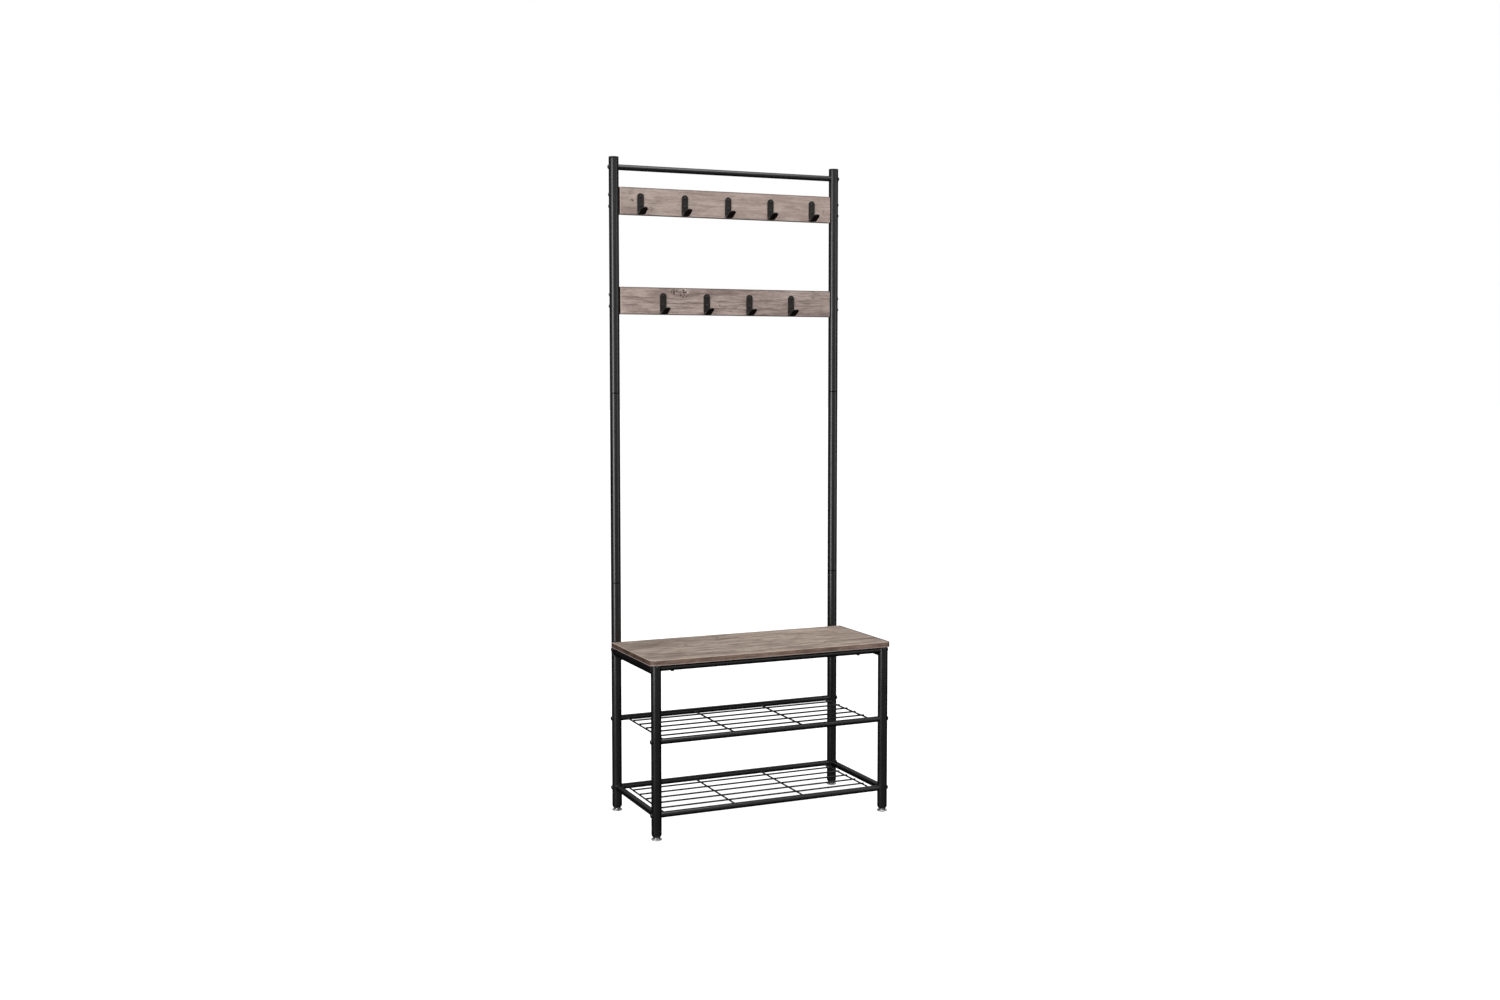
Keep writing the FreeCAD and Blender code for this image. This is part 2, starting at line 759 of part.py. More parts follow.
def frame_fasteners():
    leg_side = "leg_axis_x + post_radius"
    thread = "bolt_radius + pilot_play"
    rail_bolt = socket_bolt("rail_bolt_pattern", "rail_bolt_length")
    seat_rail_bolt = socket_bolt("seat_rail_bolt_pattern", "rail_bolt_length", head="low_head")
    group("rail_bolts", both_sides(rail_bolt, leg_side, open_rail_spots())
          + both_sides(seat_rail_bolt, leg_side, seat_rail_spots()))
    board_bolt = socket_bolt("board_bolt_pattern", "board_bolt_length", head="low_head")
    group("board_bolts", both_sides(board_bolt, leg_side, board_spots()))
    rail_nut = ring("rail_nut_pattern", "rail_radius - tube_wall - plug_clearance", thread,
                    "rail_nut_length")
    group("rail_end_nuts", both_sides(
        rail_nut, "leg_axis_x - post_radius - nut_set_back", open_rail_spots() + seat_rail_spots()))
    insert = ring("board_insert_pattern", "insert_radius", thread, "insert_length")
    group("board_inserts", both_sides(insert, HALF_BOARD, board_spots()))


def seat_screws():
    short = cross_screw("front_seat_screw_pattern", "seat_screw", "rail_radius * 2 + seat_screw_depth")
    long = cross_screw("side_seat_screw_pattern", "seat_screw", "post_radius * 2 + seat_screw_depth")
    members = []
    for x, y in seat_screw_spots():
        if y == FRONT_Y:
            members.append((short, (x, y, f"{SEAT_RAIL_Z} - rail_radius"), TURN_UP))
        else:
            members.append((long, (x, y, f"{SEAT_SIDE_RAIL_Z} - post_radius"), TURN_UP))
    group("seat_screws", members)


def hook_screws():
    pattern = cross_screw("hook_screw_pattern", "hook_screw", "hook_screw_length")
    members = []
    for board_z, count in BOARDS.values():
        for x in hook_places(count):
            for drop in HOOK_SCREW_DROPS:
                at = (x, f"{BOARD_FACE_Y} - hook_thick", f"{board_z} + hook_rise - {drop}")
                members.append((pattern, at, TURN_TO_BACK))
    group("hook_screws", members)


# ---------------------------------------------------------------- the whole object

def build():
    fill_sheet()
    for side, x in SIDES.items():
        side_frame_tubes(side, x)
        post_cap(f"{side}_post_cap", x)
        front_leg_plug(f"{side}_front_leg_top_plug", x)
    joint_sleeves("lower_joint_sleeves", "lower_joint_z")
    joint_sleeves("upper_joint_sleeves", "upper_joint_z")
    levelling_feet()
    cross_rail("seat_front_rail", FRONT_Y, SEAT_RAIL_Z, screws=FRONT_SCREWS,
               side_rail_z=SEAT_SIDE_RAIL_Z)
    cross_rail("seat_back_rail", BACK_Y, SEAT_RAIL_Z, side_rail_z=SEAT_SIDE_RAIL_Z)
    seat_board()
    seat_screws()
    for name, z in SHELVES.items():
        wire_shelf(name, z)
    cross_rail("hanging_rail", BACK_Y, "hanging_rail_z")
    for name, (board_z, count) in BOARDS.items():
        hook_board(f"{name}_hook_board", board_z, count)
        for number, x in enumerate(hook_places(count), start=1):
            hook(f"{name}_hook_{number}", x, board_z)
    hook_screws()
    frame_fasteners()


def check():
    """Stop if any object failed or any node's shape is missing or invalid."""
    doc.recompute()
    for item in doc.Objects:
        if "Invalid" in item.State or "Error" in item.State:
            raise RuntimeError(f"{item.Label} failed: {item.State}")
    for label, node in nodes.items():
        if node.Shape.isNull() or not node.Shape.isValid() or not node.Shape.Solids:
            raise RuntimeError(f"{label} has no valid solid")


def export():
    os.makedirs("parts", exist_ok=True)
    for label, node in nodes.items():
        node.Shape.exportStep(f"parts/{label}.step")
    print(f"{len(nodes)} nodes written")


build()
check()
export()
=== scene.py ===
import json
import math

import bmesh
import bpy
from mathutils import Matrix, Vector


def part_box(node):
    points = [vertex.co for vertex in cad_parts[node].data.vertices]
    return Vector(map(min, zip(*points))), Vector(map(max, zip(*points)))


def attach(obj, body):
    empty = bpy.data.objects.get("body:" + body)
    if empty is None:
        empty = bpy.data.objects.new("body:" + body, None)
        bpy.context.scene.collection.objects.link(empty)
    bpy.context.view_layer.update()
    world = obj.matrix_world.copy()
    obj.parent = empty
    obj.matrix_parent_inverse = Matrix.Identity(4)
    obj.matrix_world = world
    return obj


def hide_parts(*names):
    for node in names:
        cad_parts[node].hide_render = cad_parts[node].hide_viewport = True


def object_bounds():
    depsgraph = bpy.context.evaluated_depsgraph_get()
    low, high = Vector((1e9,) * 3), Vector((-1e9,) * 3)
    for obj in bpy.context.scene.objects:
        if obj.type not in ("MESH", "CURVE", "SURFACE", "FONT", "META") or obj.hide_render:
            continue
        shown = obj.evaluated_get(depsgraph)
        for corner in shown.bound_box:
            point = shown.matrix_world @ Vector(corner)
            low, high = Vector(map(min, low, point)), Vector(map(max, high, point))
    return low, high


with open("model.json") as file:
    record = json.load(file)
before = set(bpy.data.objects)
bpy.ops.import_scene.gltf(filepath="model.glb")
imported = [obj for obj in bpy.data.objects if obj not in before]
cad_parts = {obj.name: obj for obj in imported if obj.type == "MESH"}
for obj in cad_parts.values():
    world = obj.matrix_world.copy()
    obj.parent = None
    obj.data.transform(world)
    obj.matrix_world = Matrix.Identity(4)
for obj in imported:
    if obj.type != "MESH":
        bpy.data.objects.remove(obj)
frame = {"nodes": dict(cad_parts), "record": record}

# Looks of the hall tree: materials for every CAD piece, real threads on the levelling feet,
# weld beads where tubes and wires meet, and a plain studio. Metres, +Z up, front towards -Y.

MM = 0.001
SIDES = ("left", "right")
ENDS = ("front", "back")
SHELVES = ("upper", "lower")
SPOT_EDGE = 0.08
cad_low, cad_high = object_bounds()


def middle(node):
    low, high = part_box(node)
    return (low + high) / 2


def half_size(node):
    low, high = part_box(node)
    return (high - low) / 2


# ---------------------------------------------------------------- node trees

class Tree:
    """One shader tree, with short ways to add nodes to it."""

    def __init__(self, tree):
        self.tree = tree

    def add(self, kind, settings=None, **inputs):
        node = self.tree.nodes.new(f"ShaderNode{kind}")
        for name, setting in (settings or {}).items():
            setattr(node, name, setting)
        for name, given in inputs.items():
            self.put(node.inputs[name.replace("_", " ")], given)
        return node

    def put(self, socket, given):
        """Link a socket to the input, or set the input's own value."""
        if isinstance(given, bpy.types.NodeSocket):
            self.tree.links.new(given, socket)
        else:
            socket.default_value = given

    def sum(self, operation, first, second=0.0):
        node = self.tree.nodes.new("ShaderNodeMath")
        node.operation = operation
        self.put(node.inputs[0], first)
        self.put(node.inputs[1], second)
        return node.outputs[0]

    def span(self, given, low, high, to_low=0.0, to_high=1.0, smooth=False):
        """Carry low to high over to to_low to to_high, held at both ends."""
        kind = "SMOOTHSTEP" if smooth else "LINEAR"
        node = self.add("MapRange", {"interpolation_type": kind}, Value=given, From_Min=low, From_Max=high,
                        To_Min=to_low, To_Max=to_high)
        return node.outputs["Result"]

    def stretch(self, point, scale, move=(0, 0, 0)):
        """A point, moved and then scaled."""
        shift = [size * step for size, step in zip(scale, move)]
        return self.add("Mapping", Vector=point, Scale=scale, Location=shift).outputs["Vector"]

    def place(self, scale=(1, 1, 1), move=(0, 0, 0)):
        """The point on the piece in the frame's metres, moved and then scaled."""
        return self.stretch(self.add("TexCoord").outputs["Object"], scale, move)

    def spot(self, along, across, centre, reach):
        """1 at a spot's centre, and almost 0 at its reach along and across."""
        far = 0.0
        for given, start, half in zip((along, across), centre, reach):
            offset = self.sum("DIVIDE", self.sum("SUBTRACT", given, start), half)
            far = self.sum("ADD", far, self.sum("MULTIPLY", offset, offset))
        return self.sum("POWER", SPOT_EDGE, far)

    def noise(self, where, detail=3.0, roughness=0.55):
        return self.add("TexNoise", Vector=where, Scale=1.0, Detail=detail, Roughness=roughness).outputs[0]

    def colours(self, given, stops):
        node = self.add("ValToRGB", Fac=given)
        ramp = node.color_ramp
        while len(ramp.elements) < len(stops):
            ramp.elements.new(0.5)
        for element, (position, colour) in zip(ramp.elements, stops):
            element.position = position
            element.color = (*colour, 1)
        return node.outputs["Color"]

    def mix(self, share, first, second, blend="MIX"):
        node = self.add("Mix", {"data_type": "RGBA", "blend_type": blend})
        self.put(node.inputs[0], share)
        self.put(node.inputs[6], first)
        self.put(node.inputs[7], second)
        return node.outputs[2]

    def tinted(self, colour, share, tone):
        """The colour, carried towards one tone by a share."""
        return self.mix(share, colour, rgb(*tone))

    def bump(self, height, distance, strength=1.0, over=None):
        node = self.add("Bump", Height=height, Distance=distance, Strength=strength)
        if over:
            self.put(node.inputs["Normal"], over)
        return node.outputs["Normal"]


class Look(Tree):
    """A new material and its main shader."""

    def __init__(self, name):
        self.material = bpy.data.materials.new(name)
        self.material.use_nodes = True
        super().__init__(self.material.node_tree)
        self.shader = self.tree.nodes["Principled BSDF"]

    def set(self, **inputs):
        for name, given in inputs.items():
            self.put(self.shader.inputs[name.replace("_", " ")], given)


def rgb(red, green, blue):
    return (red, green, blue, 1)


def dimmed(tone, share):
    return tuple(part * share for part in tone)


# ---------------------------------------------------------------- materials

def powder_coat(name, tone=(0.0045, 0.0045, 0.0046), gloss=0.27, shine=0.5, seams=()):
    """Satin black powder coat: a faint orange peel, and painted shade in the seams at these heights: black,
    with no shine.
    """
    look = Look(name)
    cloud = look.noise(look.place((9, 9, 9)), detail=4)
    peel = look.noise(look.place((620, 620, 620)), detail=2, roughness=0.4)
    grit = look.noise(look.place((2600, 2600, 2600)), detail=1)
    colour = look.colours(cloud, [(0.3, dimmed(tone, 0.8)), (0.7, dimmed(tone, 1.22))])
    uneven = look.span(cloud, 0.3, 0.7, gloss - 0.04, gloss + 0.05)
    rough = look.sum("ADD", uneven, look.span(peel, 0.3, 0.7, -0.03, 0.03))
    relief = look.bump(grit, 0.00001, 0.25, over=look.bump(peel, 0.00003, 0.4))
    look.set(Base_Color=colour, Roughness=rough, Normal=relief, Specular_IOR_Level=shine)
    if seams:
        height = look.add("SeparateXYZ", Vector=look.place()).outputs["Z"]
        # Painted shade: a black band with no shine along each seam where the post sections meet.
        dark = 0.0
        for seam in seams:
            away = look.sum("ABSOLUTE", look.sum("SUBTRACT", height, seam))
            dark = look.sum("MAXIMUM", dark, look.span(away, 0.9 * MM, 1.3 * MM, 1.0, 0.0))
        look.set(Base_Color=look.tinted(colour, dark, (0, 0, 0)), Metallic=dark)
    return look.material


def moulded_plastic(name):
    """Matt black plastic with a fine spark-eroded texture."""
    look = Look(name)
    grain = look.noise(look.place((1500, 1500, 1500)), detail=2, roughness=0.6)
    cloud = look.noise(look.place((40, 40, 40)), detail=3)
    colour = look.colours(cloud, [(0.3, (0.003, 0.003, 0.0032)), (0.7, (0.0055, 0.0055, 0.0057))])
    look.set(Base_Color=colour, Roughness=look.span(cloud, 0.3, 0.7, 0.5, 0.6),
             Normal=look.bump(grain, 0.00005, 0.6), Specular_IOR_Level=0.28)
    return look.material


def turned_metal(name, base, dark, rim_height, rough):
    """Plated steel turned on a lathe: rings about each foot's own axis, and a darker rim."""
    look = Look(name)
    point = look.add("SeparateXYZ", Vector=look.place())
    leg = middle("right_back_leg")
    across = look.sum("SUBTRACT", look.sum("ABSOLUTE", point.outputs["X"]), leg.x)
    along = look.sum("SUBTRACT", look.sum("ABSOLUTE", point.outputs["Y"]), leg.y)
    squares = look.sum("ADD", look.sum("POWER", across, 2.0), look.sum("POWER", along, 2.0))
    reach = look.sum("SQRT", squares)
    rings = look.sum("SINE", look.sum("MULTIPLY", reach, 2 * math.pi / (0.35 * MM)))
    stain = look.noise(look.place((160, 160, 160)), detail=4)
    plated = look.colours(stain, [(0.35, base), (0.75, dimmed(base, 0.86))])
    rim = look.span(point.outputs["Z"], rim_height * 0.8, rim_height, 1.0, 0.0)
    look.set(Base_Color=look.mix(rim, plated, rgb(*dark)), Metallic=1.0,
             Roughness=look.span(stain, 0.3, 0.7, rough, rough + 0.1),
             Normal=look.bump(rings, 0.00001, 0.35))
    return look.material


def zinc_plate(name):
    """Hidden zinc-plated steel, with a fine drawn grain along the piece."""
    look = Look(name)
    drawn = look.noise(look.place((900, 900, 60)), detail=2)
    cloud = look.noise(look.place((120, 120, 120)), detail=4)
    colour = look.colours(cloud, [(0.3, (0.5, 0.51, 0.53)), (0.7, (0.62, 0.62, 0.6))])
    look.set(Base_Color=colour, Metallic=1.0, Roughness=look.span(drawn, 0.3, 0.7, 0.24, 0.4),
             Normal=look.bump(drawn, 0.00002, 0.3))
    return look.material


# The light, plain and dark tone of each board, and the tones of its edges and knots.
UPPER_TONES = ((0.415, 0.338, 0.3), (0.352, 0.28, 0.246), (0.268, 0.203, 0.178))
LOWER_TONES = ((0.43, 0.35, 0.312), (0.335, 0.262, 0.232), (0.18, 0.13, 0.116))
SEAT_TONES = ((0.42, 0.342, 0.285), (0.3, 0.236, 0.19), (0.14, 0.102, 0.083))
EDGE_TINT = (0.7, 0.6, 0.57)
END_TINT = (0.45, 0.42, 0.41)
LOW_ARRIS_TONE = (0.38, 0.3, 0.275)
# Near black, painted as shade on the boards' cut ends.
END_SHADE_BLACK = (0.012, 0.01, 0.01)
PALE_SPECK = (0.55, 0.47, 0.4)
KNOT_BLACK = (0.02, 0.014, 0.011)


class Oak(Look):
    """Grey-brown oak decor with its grain along X.

    Each smudge is (x, across, half length, half height, strength): a dark cloud in the grain.
    Each knot is (x, across, half length, half height, strength): a cluster of dark and pale
    specks, which the grain bends round.
    """

    def __init__(self, name, across, tones, smudges, knots, move):
        super().__init__(name)
        self.light, self.plain, self.dark = tones
        self.move = move
        point = self.add("SeparateXYZ", Vector=self.place())
        self.along = point.outputs["X"]
        self.across = point.outputs[across]
        self.warp(knots)
        self.layers()
        self.paint(smudges)
        self.speckle(knots)

    def warp(self, knots):
        """Grain coordinates that wander a little and swell round the knots."""
        wander = self.noise(self.place((9, 30, 30), self.move), detail=2, roughness=0.5)
        shift = self.sum("MULTIPLY", self.sum("SUBTRACT", wander, 0.5), 0.014)
        for x, across, half_length, half_height, _ in knots:
            reach = (half_length * 2.4, half_height * 2.2)
            bulge = self.spot(self.along, self.across, (x, across), reach)
            shift = self.sum("ADD", shift, self.sum("MULTIPLY", bulge, half_height * 0.6))
        push = self.add("CombineXYZ", X=0.0, Y=shift, Z=shift)
        added = self.add("VectorMath", {"operation": "ADD"})
        self.put(added.inputs[0], self.add("TexCoord").outputs["Object"])
        self.put(added.inputs[1], push.outputs[0])
        self.grain = added.outputs[0]

    def grained(self, scale, detail, roughness=0.6):
        return self.noise(self.stretch(self.grain, scale, self.move), detail, roughness)

    def layers(self):
        self.bands = self.grained((2.4, 22, 22), detail=3, roughness=0.55)
        self.clouds = self.grained((17, 46, 46), detail=4, roughness=0.6)
        self.streaks = self.grained((10, 130, 130), detail=5, roughness=0.7)
        self.lines = self.grained((4.5, 200, 200), detail=3, roughness=0.5)
        self.fibres = self.grained((30, 900, 900), detail=3)
        self.pores = self.grained((48, 1500, 1500), detail=2, roughness=0.5)
        self.dashes = self.grained((95, 380, 380), detail=2, roughness=0.55)

    def paint(self, smudges):
        """Bands, then streaks and thin lines, then the clouds of dark grain."""
        deep = dimmed(self.dark, 0.62)
        colour = self.colours(self.bands, [(0.3, self.dark), (0.47, self.plain), (0.64, self.light)])
        colour = self.tinted(colour, self.span(self.clouds, 0.5, 0.68, 0.0, 0.75), self.light)
        colour = self.tinted(colour, self.span(self.clouds, 0.32, 0.48, 0.7, 0.0), self.dark)
        colour = self.tinted(colour, self.span(self.streaks, 0.36, 0.52, 0.9, 0.0), self.dark)
        colour = self.tinted(colour, self.span(self.streaks, 0.54, 0.68, 0.0, 0.6), self.light)
        thin = self.sum("MULTIPLY", self.span(self.lines, 0.36, 0.42, 1.0, 0.0, smooth=True),
                        self.span(self.clouds, 0.4, 0.56, 0.75, 0.12))
        colour = self.tinted(colour, thin, deep)
        for x, across, half_length, half_height, strength in smudges:
            cloud = self.spot(self.along, self.across, (x, across), (half_length, half_height))
            ragged = self.sum("MULTIPLY", cloud, self.span(self.streaks, 0.36, 0.62, strength, 0.0))
            colour = self.tinted(colour, ragged, deep)
        colour = self.tinted(colour, self.span(self.fibres, 0.34, 0.6, 0.34, 0.0), deep)
        self.colour = colour

    def speckle(self, knots):
        """Open pores, scattered dashes, and the dark and pale specks of each knot."""
        black = dimmed(self.dark, 0.28)
        self.open_pores = self.span(self.pores, 0.6, 0.68, 0.0, 0.5)
        colour = self.tinted(self.colour, self.open_pores, black)
        colour = self.tinted(colour, self.span(self.dashes, 0.62, 0.74, 0.0, 0.36), black)
        cells = self.add("TexVoronoi", Vector=self.place((130, 190, 190), self.move), Scale=1.0)
        speck = self.span(cells.outputs["Distance"], 0.4, 0.58, 1.0, 0.0)
        lot = self.add("SeparateColor", Color=cells.outputs["Color"]).outputs["Red"]
        for x, across, half_length, half_height, strength in knots:
            near = self.spot(self.along, self.across, (x, across), (half_length, half_height))
            inside = self.sum("MULTIPLY", speck, self.span(near, 0.1, 0.3, 0.0, strength))
            dark_share = self.sum("MULTIPLY", inside, self.span(lot, 0.34, 0.38))
            pale_share = self.sum("MULTIPLY", inside, self.span(lot, 0.22, 0.26, 0.6, 0.0))
            colour = self.tinted(self.tinted(colour, dark_share, KNOT_BLACK), pale_share, PALE_SPECK)
        self.colour = colour

    def finish(self, rough_low, rough_high):
        relief = self.bump(self.fibres, 0.00008, 0.5)
        relief = self.bump(self.open_pores, -0.0001, 0.5, over=relief)
        self.set(Base_Color=self.colour, Normal=relief, Specular_IOR_Level=0.3,
                 Roughness=self.span(self.fibres, 0.3, 0.7, rough_high, rough_low))
        return self.material


def board_oak(node, tones, shades, move, smudges, knots):
    """A hook board: cut ends painted black as shade, painted shade along its long arrises, and a painted
    highlight in a pale strip at its left end.

    The two shades are how bright the decor prints at the left end and at the right end.
    """
    look = Oak(node.replace("_board", "_oak"), "Z", tones, smudges, knots, move)
    centre = middle(node)
    half = half_size(node)
    shade = look.span(look.along, centre.x - half.x, centre.x + half.x, *shades)
    look.colour = look.mix(1.0, look.colour, shade, "MULTIPLY")
    rise = look.sum("ABSOLUTE", look.sum("SUBTRACT", look.across, centre.z))
    # Painted shade: the long top and bottom arrises darkened.
    arris_shade = look.span(rise, half.z - 2.8 * MM, half.z - 1.4 * MM, 0.0, 0.85)
    colour = look.tinted(look.colour, arris_shade, dimmed(look.dark, 0.3))
    # Painted highlight: a pale strip just in from the left end.
    left_end_highlight = look.span(look.along, centre.x - half.x + 3.4 * MM, centre.x - half.x + 2.4 * MM)
    colour = look.tinted(colour, look.sum("MULTIPLY", left_end_highlight, 0.6), look.light)
    # Painted shade: the cut ends, in the gap against the posts, near black.
    normal = look.add("SeparateXYZ", Vector=look.add("TexCoord").outputs["Normal"])
    cut_end_shade = look.span(look.sum("ABSOLUTE", normal.outputs["X"]), 0.5, 0.9)
    look.colour = look.tinted(colour, cut_end_shade, END_SHADE_BLACK)
    return look.finish(0.5, 0.66)


def seat_oak(node, smudges, knots):
    """The seat: side faces darker and browner than the top, a painted highlight on the top arrises, and a
    strip of painted shade near the right end.
    """
    look = Oak("seat_oak", "Y", SEAT_TONES, smudges, knots, (0.4, 0.13, 0.2))
    low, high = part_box(node)
    shade = look.span(look.along, low.x * 0.85, high.x * 0.4, 0.92, 1.13)
    look.colour = look.mix(1.0, look.colour, shade, "MULTIPLY")
    height = look.add("SeparateXYZ", Vector=look.place()).outputs["Z"]
    normal = look.add("SeparateXYZ", Vector=look.add("TexCoord").outputs["Normal"])
    facing = normal.outputs["Z"]
    band = look.span(facing, 0.55, 0.9, 1.0, 0.0)
    colour = look.mix(band, look.colour, rgb(*EDGE_TINT), "MULTIPLY")
    end = look.span(look.sum("ABSOLUTE", normal.outputs["X"]), 0.4, 0.9)
    colour = look.mix(end, colour, rgb(*END_TINT), "MULTIPLY")
    # Painted highlight: the rounded top arrises made paler.
    top_arris_highlight = look.sum("MULTIPLY", look.span(facing, 0.3, 0.5), look.span(facing, 0.93, 0.99, 1.0, 0.0))
    colour = look.tinted(colour, look.sum("MULTIPLY", top_arris_highlight, 0.85), look.light)
    low_arris = look.span(height, low.z + 1.8 * MM, low.z + 3.0 * MM, 0.85, 0.0)
    colour = look.tinted(colour, look.sum("MULTIPLY", low_arris, band), LOW_ARRIS_TONE)
    # Painted shade: a dark strip on the top, just in from the right end.
    right_end_shade = look.span(look.along, high.x - 7.5 * MM, high.x - 6 * MM, 0.0, 0.8)
    look.colour = look.tinted(colour, right_end_shade, dimmed(look.dark, 0.3))
    return look.finish(0.46, 0.62)


# ---------------------------------------------------------------- mesh pieces

def mesh_piece(name, mesh_maker, body, material):
    """A new smooth-shaded piece that rides on a CAD body."""
    built = bmesh.new()
    mesh_maker(built)
    bmesh.ops.recalc_face_normals(built, faces=built.faces)
    mesh = bpy.data.meshes.new(name)
    built.to_mesh(mesh)
    built.free()
    mesh.shade_smooth()
    mesh.materials.append(material)
    piece = bpy.data.objects.new(name, mesh)
    bpy.context.scene.collection.objects.link(piece)
    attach(piece, body)
    return piece


def skin(built, rows, closed=False):
    """Join rows of points, each a ring, with quads; close the two ends unless it is a loop."""
    rings = [[built.verts.new(point) for point in row] for row in rows]
    pairs = list(zip(rings, rings[1:]))
    if closed:
        pairs.append((rings[-1], rings[0]))
    for first, second in pairs:
        for index in range(len(first)):
            after = (index + 1) % len(first)
            built.faces.new((first[index], first[after], second[after], second[index]))
    if not closed:
        built.faces.new(rings[0])
        built.faces.new(reversed(rings[-1]))


# ---------------------------------------------------------------- threads

THREAD_PITCH = 1.25 * MM
THREAD_DEPTH = 0.68 * MM
ROWS_PER_TURN = 8
THREAD_SIDES = 28


def stud_thread(low, high):
    """A bolt blank with a rolled right-hand thread, tapering away at both ends."""
    centre = (low + high) / 2
    crest = (high.x - low.x) / 2
    height = high.z - low.z
    count = round(height / THREAD_PITCH * ROWS_PER_TURN)

    def make(built):
        rows = []
        for row in range(count + 1):
            rise = height * row / count
            fade = min(1.0, rise / THREAD_PITCH, (height - rise) / THREAD_PITCH)
            points = []
            for side in range(THREAD_SIDES):
                turn = side / THREAD_SIDES
                slope = abs((rise / THREAD_PITCH - turn) % 1.0 - 0.5) * 2
                radius = crest - THREAD_DEPTH * (1 - fade * slope)
                angle = turn * 2 * math.pi
                points.append((centre.x + radius * math.cos(angle), centre.y + radius * math.sin(angle),
                               low.z + rise))
            rows.append(points)
        skin(built, rows)

    return make


def threaded_studs(material):
    for side in SIDES:
        for end in ENDS:
            node = f"{side}_{end}_foot_stud"
            piece = mesh_piece(f"{side}_{end}_stud_thread", stud_thread(*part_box(node)),
                               f"{side}_{end}_foot_stem", material)
            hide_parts(node)


# ---------------------------------------------------------------- welds

BEAD_SIDES = 8
BEAD_STEPS = 72
BEAD_RIPPLES = 26
BEAD_RADIUS = 1.3 * MM
CROSS_STEPS = (-1, -1 / 3, 1 / 3, 1)
LONG_STEPS = (-1, -0.5, 0, 0.5, 1)
CROSSING_DROP = Vector((1.7, 1.7, 0.8)) * 0.75
RAIL_DROP = Vector((1.6, 1.0, 1.3))


def saddle_bead(rail, leg, inward, thickness):
    """The weld bead along the line where a side rail meets a leg."""
    rail_middle = middle(rail)
    rail_radius = half_size(rail).x
    leg_middle = middle(leg)
    leg_radius = half_size(leg).x

    def on_seam(angle):
        out = rail_radius * math.cos(angle)
        reach = math.sqrt(max(leg_radius ** 2 - out ** 2, 0.0))
        return Vector((leg_middle.x + out, leg_middle.y + inward * reach,
                       rail_middle.z + rail_radius * math.sin(angle)))

    def make(built):
        rows = []
        for step in range(BEAD_STEPS):
            angle = 2 * math.pi * step / BEAD_STEPS
            point = on_seam(angle)
            ahead = (on_seam(angle + 0.01) - on_seam(angle - 0.01)).normalized()
            outward = Vector((math.cos(angle), 0, math.sin(angle)))
            across = ahead.cross(outward).normalized()
            ripple = 1 + 0.13 * math.sin(BEAD_RIPPLES * angle)
            rows.append([
                point + (outward * math.cos(turn) + across * math.sin(turn)) * thickness * ripple
                for turn in (2 * math.pi * side / BEAD_SIDES for side in range(BEAD_SIDES))
            ])
        skin(built, rows, closed=True)

    return make


def frame_welds(material):
    for side in SIDES:
        for name, rail in (("seat", f"{side}_seat_side_rail"), ("lower", f"{side}_lower_side_rail")):
            for end, inward in (("front", 1), ("back", -1)):
                mesh_piece(f"{side}_{name}_{end}_weld",
                           saddle_bead(rail, f"{side}_{end}_leg", inward, BEAD_RADIUS),
                           "root", material)


def weld_drop(built, place, size, sides=10, rings=5):
    """A small flattened drop of weld metal."""
    rows = []
    for ring in range(1, rings):
        tilt = math.pi * ring / rings
        rows.append([
            place + Vector((size.x * math.sin(tilt) * math.cos(2 * math.pi * side / sides),
                            size.y * math.sin(tilt) * math.sin(2 * math.pi * side / sides),
                            size.z * math.cos(tilt)))
            for side in range(sides)
        ])
    skin(built, rows)


def shelf_welds(material):
    """Spot welds where wires cross, and drops where the cross wires meet the rails."""
    wire = half_size("upper_shelf_long_wires").z
    long_span = half_size("upper_shelf_long_wires").y - wire
    cross_span = half_size("upper_shelf_cross_wires").x - wire
    for name in SHELVES:
        cross = middle(f"{name}_shelf_cross_wires")
        long = middle(f"{name}_shelf_long_wires")
        rail_y = half_size(f"{name}_shelf_cross_wires").y - MM

        def make(built):
            for cross_step in CROSS_STEPS:
                x = cross_span * cross_step
                for long_step in LONG_STEPS:
                    place = Vector((x, long_span * long_step, (cross.z + long.z) / 2))
                    weld_drop(built, place, CROSSING_DROP * wire)
                for y in (-rail_y, rail_y):
                    weld_drop(built, Vector((x, y, cross.z)), RAIL_DROP * wire)

        mesh_piece(f"{name}_shelf_welds", make, "root", material)


# ---------------------------------------------------------------- dressing the CAD pieces

def dress(material, *names):
    for name in names:
        slots = frame["nodes"][name].data.materials
        slots.clear()
        slots.append(material)


def in_slot(slot):
    """The CAD nodes that the record gives this material slot."""
    return [part["node"] for part in frame["record"]["subparts"] if part["material_slot"] == slot]


